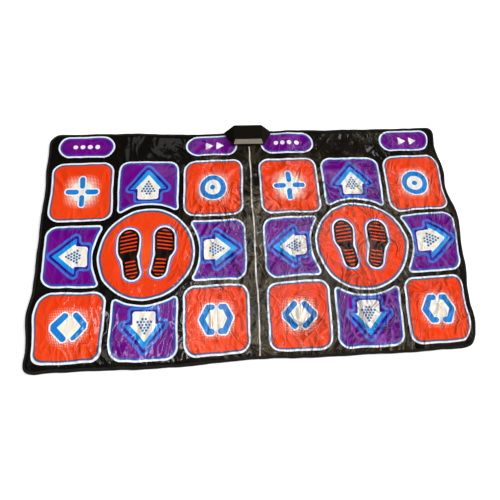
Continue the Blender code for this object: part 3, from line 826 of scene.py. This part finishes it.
def arrow_print(u, v, rim):
    """The print of an arrow zone: a ring round a dark arrow, a roof, a pale arrow and dots."""
    outer = house(u, v, (119.0, -14.0, 19.0), (57.0, -58.0, 16.0), 8.0) + 4.5
    roof_light = paint(ROOF_LIGHT, ROOF_BLUE, fading(abs(u), 8.0, 62.0))
    pale = house(u, v, (63.0, 3.0, 3.0), (41.0, -43.0, 11.0), 2.0)
    top_row, row_pitch, dot_pitch = 34.0, -10.0, 12.0
    row = ((v - top_row) / row_pitch).math("ROUND").within(0.0, 5.0)
    dots_in_row = row.math("MODULO", 5.0) + (row - 4.0).most(0.0) + 1.0
    half = (dots_in_row - 1.0) * 0.5
    column = (u / dot_pitch + half).math("ROUND").most(0.0).least(dots_in_row - 1.0) - half
    dots = distance(u - column * dot_pitch, v - (row * row_pitch + top_row)) - 4.6
    return printed(
        purple_zone(u, rim),
        (NAVY, outer),
        (RING_BLUE, abs(outer) - 4.5, 1.0),
        (roof_light, arrow_head(u, v, 88.0, 1.5, 2.5)),
        (WHITE, pale),
        (CREAM, pale + 4.0, 2.0),
        (DOT_BLUE, dots),
    )


def menu_zone(u, rim):
    """The ground of a menu zone."""
    return purple_zone(u, rim, (30.0, 110.0), (8.5, 14.5), pale=7.0, white=5.8)


def select_print(u, v, rim):
    """A row of four dots."""
    pitch = 29.0
    column = (u / pitch - 0.5).math("ROUND").within(-2.0, 1.0) + 0.5
    dots = distance(u - column * pitch, v) - 9.5
    return printed(menu_zone(u, rim), (WHITE, dots))


def start_print(u, v, rim):
    """Two play triangles."""
    left = triangle_sign(u + 21.0, v)
    right = triangle_sign(u - 27.0, v)
    return printed(menu_zone(u, rim), (WHITE, left.least(right)))


def triangle_sign(u, v):
    """Distance from a triangle that points along u."""
    lean = math.radians(60)
    slope = u * math.cos(lean) + abs(v) * math.sin(lean)
    return slope.math("SMOOTH_MAX", -u, 8.0) - 11.0


def sole(u, v):
    """Distance from a pair of shoe soles that turn a little outwards, and the place along one."""
    c, s = math.cos(math.radians(9)), math.sin(math.radians(9))
    x, y = abs(u) - 62.0, v - 2.0
    x, y = x * c - y * s, x * s + y * c
    heel = bar(x, y, (-2.0, -72.0), (0.0, -34.0)) - 29.0
    ball = bar(x, y, (4.0, 18.0), (-3.0, 62.0)) - 39.0
    return heel.math("SMOOTH_MIN", ball, 34.0), y


def disc_print(base, u, v, rim):
    """The print of the round zone: a glow of dots and a pair of shoe soles."""
    inner = paint(ORANGE, ORANGE_LIGHT, fading(v, -150.0, 150.0))
    share = fading(distance(u, v), 150.0, 30.0)
    gap, along = sole(u, v)
    stripe = abs(along - (along / 15.0).math("ROUND") * 15.0) - 2.6
    inner = printed(
        inner,
        (ORANGE_DOTS, halftone(u, v, 7.0, share * 3.4), 0.8),
        (SIGN_BLUE, gap - 11.0),
        (WHITE, gap - 6.0),
        (BLACK_INK, gap),
        (ORANGE_LIGHT, stripe.most(gap + 9.0).most(-(abs(along + 9.0) - 17.0))),
    )
    zone = border(rim, inner, ((13.4, STEEL_BLUE), (15.0, DARK_LINE)))
    return printed(base, (zone, -rim, 0.8))


def new_material(name):
    """An empty material and its surface socket's shader."""
    material = bpy.data.materials.new(name)
    material.use_nodes = True
    tree = material.node_tree
    return material, tree, tree.nodes["Principled BSDF"]


def texture(vector, scale, kind="Noise", **inputs):
    """A procedural texture, as a number."""
    inputs = {name.title(): value for name, value in inputs.items()}
    tree = vector.id_data
    node = add_node(tree, f"Tex{kind}", {"Vector": vector, "Scale": scale, **inputs})
    return Number(tree, node.outputs[0])


def object_place(tree):
    """The place on the object, which the whole part shares."""
    return add_node(tree, "TexCoord", {}).outputs["Object"]


def raised(height):
    """The surface's direction with a height in metres as bump."""
    return add_node(height.tree, "Bump", {"Distance": 1.0, "Height": height}).outputs[0]


def fold_place(tree, turn):
    """The place for folds that run along Y turned by this many degrees, in wide bends."""
    lay = stored(tree, "lay")
    bends = add_node(tree, "TexNoise", {"Vector": lay, "Scale": 4.0, "Detail": 0.5})
    inputs = {0: bends.outputs["Color"], 1: (0.2, 0.2, 0.0), 2: lay}
    bent = add_node(tree, "VectorMath", inputs, operation="MULTIPLY_ADD").outputs[0]
    rotation = (0.0, 0.0, math.radians(turn))
    inputs = {"Vector": bent, "Rotation": rotation, "Scale": (1.0, 3.0, 1000.0)}
    return add_node(tree, "Mapping", inputs, vector_type="TEXTURE").outputs[0]


def ridges(tree, scale, turn):
    """0 along sharp crests that run along Y turned by this much, and below 0 beside them."""
    return -abs(texture(fold_place(tree, turn), scale, detail=0.0) - 0.5)


def flat_place(tree):
    """The place on the flat layout."""
    inputs = {"Vector": stored(tree, "lay"), "Scale": (1.0, 1.0, 0.0)}
    return add_node(tree, "Mapping", inputs).outputs[0]


def crumple(tree):
    """How the loose vinyl is crumpled: its height in metres, a crest mask for the painted
    highlight and a mask of sharp valley lines for the painted shade.
    """
    loose = separate(stored(tree, "lay"))[2]
    patches = fading(texture(flat_place(tree), 7.0, detail=1.5), 0.4, 0.6)
    strength = loose * (patches * 0.7 + 0.3) + 0.03
    broad = ridges(tree, 20.0, -34.0).most(ridges(tree, 23.0, 12.0))
    fine = ridges(tree, 54.0, -62.0).most(ridges(tree, 50.0, -6.0)) * loose
    # Mask of the crests, for the painted highlight laid on them
    crests = fading(broad + fine * 0.4, -0.1, -0.01) * strength
    # The valley lines: dented into the bump, and darkened in the colour as painted shade
    lines = fading(ridges(tree, 15.0, -18.0), -0.022, -0.003) * strength
    return (broad * 0.07 + fine * 0.013) * strength - lines * 0.0012, crests, lines


def finish_vinyl(tree, shader, colour, height, lines):
    """Glossy printed vinyl: crumpled, with painted shade darkening the lines in its valleys, and
    scuffed patches.
    """
    grain = texture(flat_place(tree), 1500.0, detail=1.0)
    scuffs = texture(flat_place(tree), 26.0, detail=5.0, roughness=0.65)
    looks = {
        # Painted shade: the valley lines are darkened towards black
        "Base Color": paint(colour, (0.0, 0.0, 0.0), lines * 0.4),
        "Normal": raised(height + grain * 0.000004),
        "Roughness": scuffs * 0.16 + 0.14,
        "IOR": 1.5,
        "Specular IOR Level": 0.12,
        "Coat Weight": 1.0,
        "Coat Roughness": 0.06,
    }
    plug(shader, looks)


def zone_material(name, print_zone, crest_highlight, highlight_share):
    """Vinyl with a zone's print, whose crests get a painted highlight of this colour, at most by
    this share.
    """
    material, tree, shader = new_material(name)
    u, v, rim = separate(stored(tree, "print"))
    height, crests, lines = crumple(tree)
    # Painted highlight: the crests are lightened towards the highlight colour
    colour = paint(print_zone(u, v, rim), crest_highlight, crests * highlight_share)
    finish_vinyl(tree, shader, colour, height, lines)
    return material


def ground_material():
    """Black vinyl with the two round zones and the pale centre line, patches of dust and painted
    sheen, and painted highlights on its crests.
    """
    material, tree, shader = new_material("printed_black_vinyl")
    u, v, rim = separate(stored(tree, "print"))
    x, y, loose = separate(stored(tree, "lay"))
    height, crests, lines = crumple(tree)
    # Patches of dust and painted sheen on the loose black vinyl
    dust_and_sheen = fading(texture(fold_place(tree, 0.0), 11.0, detail=3.0), 0.36, 0.62)
    base = paint(BLACK_INK, DUST_AND_SHEEN_BLACK, dust_and_sheen * fading(loose, 0.2, 0.9) * 0.6)
    # Painted highlight on the crests of the loose black vinyl
    base = paint(base, HIGHLIGHT_BLACK, crests * fading(loose, 0.35, 0.95) * 0.75)
    line = (abs(x) * MM - 2.4).most(y * MM - 398.0)
    colour = disc_print(printed(base, (CENTRE_LINE, line)), u, v, rim)
    # Painted highlight on the crests of the round zones
    crest_highlight = paint(colour, HIGHLIGHT_ORANGE, crests * 0.12)
    colour = printed(colour, (crest_highlight, -rim))
    finish_vinyl(tree, shader, colour, height, lines)
    return material


def simple_material(name, colour, roughness, bump=0.0, scale=900.0, metallic=0.0, spread=0.15):
    """A material with a fine grain, colour that varies a little and uneven gloss."""
    material, tree, shader = new_material(name)
    place = object_place(tree)
    cloud = texture(place, 30.0, detail=4.0)
    grain = texture(place, scale, detail=2.0)
    dark = tuple(c * (1 - spread) for c in colour)
    light = tuple(min(1.0, c * (1 + spread)) for c in colour)
    looks = {
        "Base Color": paint(dark, light, cloud),
        "Roughness": cloud * 0.12 + (roughness - 0.06),
        "Metallic": metallic,
    }
    if bump:
        looks["Normal"] = raised(grain * bump)
    plug(shader, looks)
    return material


def add_binding(material, thread):
    """The tape folded over the rim, in the channel shape of its CAD node, and its stitches."""
    top = span("edge_binding")[1]
    thick = TAPE_THICKNESS
    # Inset from the rim and height of each corner: round the outside, then back along the inside
    outer = [(TAPE_LIP, top), (0.006, top + 0.0002), (0.003, top + 0.0001), (0.0012, top - 0.0003)]
    outer += [(0.0004, top - 0.0011), (0.0, top - 0.0025), (0.0, 0.0028), (0.0004, 0.0012)]
    outer += [(0.0013, 0.0003), (0.003, 0.0), (TAPE_LIP, 0.0)]
    inner = [(TAPE_LIP, thick), (0.002, thick), (thick, thick), (thick, top - thick)]
    inner += [(0.002, top - thick), (TAPE_LIP, top - thick)]
    profile = outer + inner
    rim = resampled(mat_outline(0.0), TAPE_STEP)
    ahead = unit(np.roll(rim, -1, axis=0) - np.roll(rim, 1, axis=0))
    inward = np.c_[-ahead[:, 1], ahead[:, 0]]
    run = np.concatenate(((0.0,), np.cumsum(np.linalg.norm(np.diff(rim, axis=0), axis=1))))
    rings, stores = [], []
    for inset, z in profile:
        flat = rim + inward * inset
        rings.append(lying(flat, (z,), z > top / 2))
        stores += [(at, inset, z) for at in run]
    points = np.vstack(rings)
    count, sides = len(rim), len(profile)
    faces = []
    for k in range(sides):
        m = (k + 1) % sides
        for i in range(count):
            j = (i + 1) % count
            faces.append((k * count + i, m * count + i, m * count + j, k * count + j))
    item = add_mesh("edge_binding_tape", points, faces, material)
    add_vectors(item, "tape", np.array(stores) * MM)
    stand_in(item, "mat", "edge_tape", "edge_binding")
    stitches = add_stitches(top, thread)


def add_stitches(top, thread):
    """One row of stitches along the tape."""
    curve = bpy.data.curves.new("binding_stitches", "CURVE")
    curve.dimensions = "3D"
    curve.bevel_depth = THREAD_RADIUS
    curve.bevel_resolution = 1
    curve.use_fill_caps = True
    seam = resampled(mat_outline(STITCH_INSET), STITCH_PITCH)
    ahead = unit(np.roll(seam, -1, axis=0) - seam)
    reach = STITCH_LENGTH / 2
    end, middle = -THREAD_RADIUS, 0.6 * THREAD_RADIUS
    knots = ((-reach, end), (-reach / 2, middle), (reach / 2, middle), (reach, end))
    rows = [lying(seam + ahead * offset, (top + height,)) for offset, height in knots]
    for stitch in np.stack(rows, axis=1):
        spline = curve.splines.new("POLY")
        spline.points.add(3)
        for point, place in zip(spline.points, stitch):
            point.co = (*place, 1.0)
    curve.materials.append(thread)
    item = add_object("binding_stitches", curve)
    stand_in(item, "mat", "edge_tape")
    return item


def add_layers(looks):
    """The sheets under the print, and the printed top with its windows."""
    inside = mat_outline(TAPE_THICKNESS + FIT_GAP)
    beside_lip = mat_outline(TAPE_LIP + FIT_GAP)
    windows = [cell.outline(SPACER_CLEARANCE) for cell in CELLS]
    layers = (
        ("backing_sheet", beside_lip, (), BACKING_STEP, "woven_backing", ()),
        ("base_foam", inside, (), HIDDEN_STEP, "white_foam", ("backing_sheet_cloth",)),
        ("lower_contact_film", inside, (), HIDDEN_STEP, "contact_film", ("base_foam_sheet",)),
        ("spacer_foam", inside, windows, HIDDEN_STEP, "white_foam", ("lower_contact_film_sheet",)),
    )
    for node, outline, holes, step, slot, under in layers:
        name = "backing_sheet_cloth" if node == "backing_sheet" else f"{node}_sheet"
        item, _, area = soft_sheet(name, node, outline, holes, step, looks[slot])
        stand_in(item, "mat", slot, node)
    windows = [cell.outline(FIT_GAP) for cell in CELLS]
    item, flat, area = soft_sheet(
        "printed_top_sheet", "top_sheet", inside, windows, SHEET_STEP, ground_material(), True
    )
    side = np.where(flat[:, 0] < 0, -1, 1)
    local = np.c_[flat[:, 0] - side * HALF_CENTRE_X, flat[:, 1] - MIDDLE_ROW_Y]
    rim = DISC_RADIUS - np.linalg.norm(local, axis=1)
    add_vectors(item, "print", MM * np.c_[local, rim])
    stand_in(item, "mat", "black_vinyl", "top_sheet", "p1_home_disc", "p2_home_disc")


def add_zones(looks):
    """The twenty printed zones that sink, each with the contact patch on its underside."""
    prints = {
        "arrow": arrow_print,
        "select": select_print,
        "start": start_print,
        "back_left": corner_print(plus_sign),
        "back_right": corner_print(ring_sign),
        "front_left": corner_print(diamond_sign),
        "front_right": corner_print(hexagon_sign),
    }
    materials = {
        kind: zone_material(f"{kind}_print", drawn, *(ORANGE_CREST_HIGHLIGHT if "_" in kind else PURPLE_CREST_HIGHLIGHT))
        for kind, drawn in prints.items()
    }
    for cell in CELLS:
        outline = cell.outline(0.0)
        node = f"{cell.name}_pad"
        pad, flat, area = soft_sheet(
            f"{cell.name}_zone", node, outline, (), PAD_STEP, materials[cell.kind], True
        )
        local = moved(flat - np.array(cell.centre), (0.0, 0.0), -cell.turn)
        rim = np.maximum(depth_inside(flat, outline), 0.0)
        add_vectors(pad, "print", MM * np.c_[local, rim])
        stand_in(pad, cell.name, cell.slot, node)
        contact, inner = f"{cell.name}_contact", cell.outline(-CONTACT_INSET)
        ink = looks["carbon_ink"]
        patch, *_ = soft_sheet(f"{cell.name}_patch", contact, inner, (), HIDDEN_STEP, ink)
        stand_in(patch, cell.name, "carbon_ink", contact)


def slot_looks():
    """One material for each of the record's slots that isn't printed vinyl."""
    return {
        "edge_tape": tape_material(),
        "woven_backing": woven_material(),
        "white_foam": simple_material("foam", (0.75, 0.75, 0.71), 0.9, 0.0002, 1800.0),
        "contact_film": simple_material("film", (0.35, 0.36, 0.38), 0.4),
        "carbon_ink": simple_material("carbon", (0.03, 0.03, 0.03), 0.7, 0.00002, 2500.0),
        "black_plastic": plastic_material("moulded_black", (0.007, 0.0056, 0.0034), 0.42),
        "grey_plastic": plastic_material("moulded_grey", (0.33, 0.3, 0.235), 0.42),
        "board_green": simple_material("board", (0.02, 0.16, 0.05), 0.4),
        "chip_black": simple_material("chip", (0.01, 0.01, 0.01), 0.4, 0.00001, 3000.0),
        "gland_rubber": simple_material("rubber", (0.015, 0.015, 0.015), 0.75, 0.00002, 2500.0),
        "zinc_steel": simple_material("zinc", (0.62, 0.62, 0.6), 0.3, 0.00001, 2500.0, 1.0, 0.05),
    }


def tape_material():
    """Matt black tape with a fine rib across it."""
    material, tree, shader = new_material("edge_tape_cloth")
    run, across, z = separate(stored(tree, "tape"))
    rib = (run * (2 * math.pi / 0.9)).math("SINE")
    weft = ((across + z) * (2 * math.pi / 0.7)).math("SINE")
    cloud = texture(object_place(tree), 45.0, detail=4.0)
    looks = {
        "Base Color": paint((0.006, 0.006, 0.006), (0.02, 0.018, 0.016), cloud),
        "Roughness": cloud * 0.2 + 0.45,
        "Specular IOR Level": 0.18,
        "Normal": raised(rib * 0.00003 + weft * 0.00003 + cloud * 0.0012),
    }
    plug(shader, looks)
    return material


def woven_material():
    """The woven backing, with rows of grip dots."""
    material, tree, shader = new_material("woven_backing_cloth")
    x, y, _ = separate(stored(tree, "lay"))
    warp, weft = ((axis * (2 * math.pi / 0.0016)).math("SINE") for axis in (x, y))
    dots = inked(halftone(x * MM, y * MM, 8.0, 1.6), 0.4)
    looks = {
        "Base Color": paint((0.026, 0.026, 0.028), (0.05, 0.05, 0.052), dots),
        "Roughness": dots * -0.25 + 0.88,
        "Normal": raised(warp * weft * 0.0001 + dots * 0.0003),
    }
    plug(shader, looks)
    return material


def plastic_material(name, colour, roughness):
    """Moulded plastic: fine spark texture, handling marks and edges rubbed a little lighter."""
    material, tree, shader = new_material(name)
    place = object_place(tree)
    grain = texture(place, 1400.0, "Voronoi")
    cloud = texture(place, 55.0, detail=5.0, roughness=0.6)
    scratches = texture(place, 260.0, detail=2.0, distortion=2.5)
    bevel = add_node(tree, "Bevel", {"Radius": 0.0012})
    normal = add_node(tree, "NewGeometry", {}).outputs["Normal"]
    inputs = {0: bevel.outputs[0], 1: normal}
    dot = add_node(tree, "VectorMath", inputs, operation="DOT_PRODUCT")
    edge = fading(Number(tree, dot.outputs["Value"]), 0.995, 0.9) * cloud
    light = tuple(min(1.0, c * 1.6 + 0.02) for c in colour)
    base = paint(tuple(c * 0.85 for c in colour), tuple(c * 1.15 for c in colour), cloud)
    looks = {
        "Base Color": paint(base, light, edge),
        "Roughness": cloud * 0.14 + scratches * 0.05 + (roughness - 0.1),
        "Normal": raised(grain * 0.00003),
        "Specular IOR Level": 0.08,
    }
    plug(shader, looks)
    return material


def add_floor():
    """A plain white floor. The camera sees a little light from it, which keeps the shadow."""
    corners = ((-1, -1), (1, -1), (1, 1), (-1, 1))
    points = np.array([(FLOOR_REACH * x, FLOOR_REACH * y, FLOOR_Z) for x, y in corners])
    material, tree, shader = new_material("floor")
    colour = (0.92, 0.92, 0.92, 1.0)
    plug(shader, {"Base Color": colour, "Roughness": 1.0, "Specular IOR Level": 0.0})
    rays = add_node(tree, "LightPath", {}).outputs
    kinds = ("Camera", "Glossy", "Transmission")
    camera, mirrored, through = (Number(tree, rays[f"Is {kind} Ray"]) for kind in kinds)
    seen = camera.most(mirrored).most(through)
    light = add_node(tree, "Emission", {"Strength": seen * FLOOR_GLOW})
    both = add_node(tree, "AddShader", {0: shader.outputs[0], 1: light.outputs[0]})
    plug(tree.nodes["Material Output"], {"Surface": both.outputs[0]})
    add_mesh("floor", points, [(0, 1, 2, 3)], material)


def add_lamp(name, place, size, glare, target=(0.0, 0.0, 0.0), mirrored=True):
    """A soft lamp that points at a target. Its glare is its radiance."""
    lamp = bpy.data.lights.new(name, "AREA")
    lamp.shape = "RECTANGLE"
    lamp.size, lamp.size_y = size
    lamp.energy = glare * math.pi * size[0] * size[1]
    item = add_object(name, lamp)
    item.location = place
    item.rotation_euler = (Vector(target) - Vector(place)).to_track_quat("-Z", "Y").to_euler()
    item.visible_glossy = mirrored


def add_key_lamp():
    """A broad soft light from the right, which isn't mirrored."""
    lamp = bpy.data.lights.new("key_lamp", "SUN")
    lamp.energy = KEY_LAMP_ENERGY
    lamp.angle = KEY_LAMP_ANGLE
    item = add_object("key_lamp", lamp)
    item.rotation_euler = Vector(KEY_LAMP_SIDE).to_track_quat("Z", "Y").to_euler()
    item.visible_glossy = False


def add_light():
    """The world, which is bright only to the camera, and all the lamps."""
    world = bpy.data.worlds.new("studio")
    world.use_nodes = True
    tree = world.node_tree
    seen = Number(tree, add_node(tree, "LightPath", {}).outputs["Is Camera Ray"])
    strength = seen * (1.0 - WORLD_LIGHT) + WORLD_LIGHT
    plug(tree.nodes["Background"], {"Color": (1.0, 1.0, 1.0, 1.0), "Strength": strength})
    bpy.context.scene.world = world
    for number, ((x, y), size, glare) in enumerate(OVERHEAD_LAMPS, 1):
        add_lamp(f"overhead_{number}", (x, y, LAMP_HEIGHT), size, glare, (x, y, 0.0))
    for name, place, size, glare in SIDE_LAMPS:
        add_lamp(name, place, size, glare, mirrored=False)
        add_lamp(name + "_glow", place, size, MIRRORED_GLARE)
    add_key_lamp()


def add_camera():
    """The photograph's view: from above the front edge, turned a little to the left."""
    turns = [Matrix.Rotation(math.radians(angle), 4, axis) for angle, axis in CAMERA_TURNS]
    target = Matrix.Translation(CAMERA_TARGET)
    back = Matrix.Translation((0.0, 0.0, CAMERA_DISTANCE))
    camera = bpy.data.cameras.new("camera")
    camera.lens = CAMERA_LENS
    camera.sensor_width = CAMERA_SENSOR
    item = add_object("camera", camera)
    item.matrix_world = target @ turns[0] @ turns[1] @ turns[2] @ back
    bpy.context.scene.camera = item


def dress_box(nodes, looks):
    """Gives the box's CAD nodes their materials."""
    for slot, names in BOX_SLOTS.items():
        for name in names:
            for place in nodes[name].material_slots:
                place.material = looks[slot]


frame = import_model()
CREASES = make_creases()
CELLS = player_cells("p1", -1) + player_cells("p2", 1)
add_camera()
add_light()
add_floor()
slots = slot_looks()
add_layers(slots)
add_zones(slots)
add_binding(slots["edge_tape"], simple_material("thread", (0.02, 0.02, 0.02), 0.6))
dress_box(frame["nodes"], slots)
bpy.context.scene.view_settings.view_transform = "Standard"
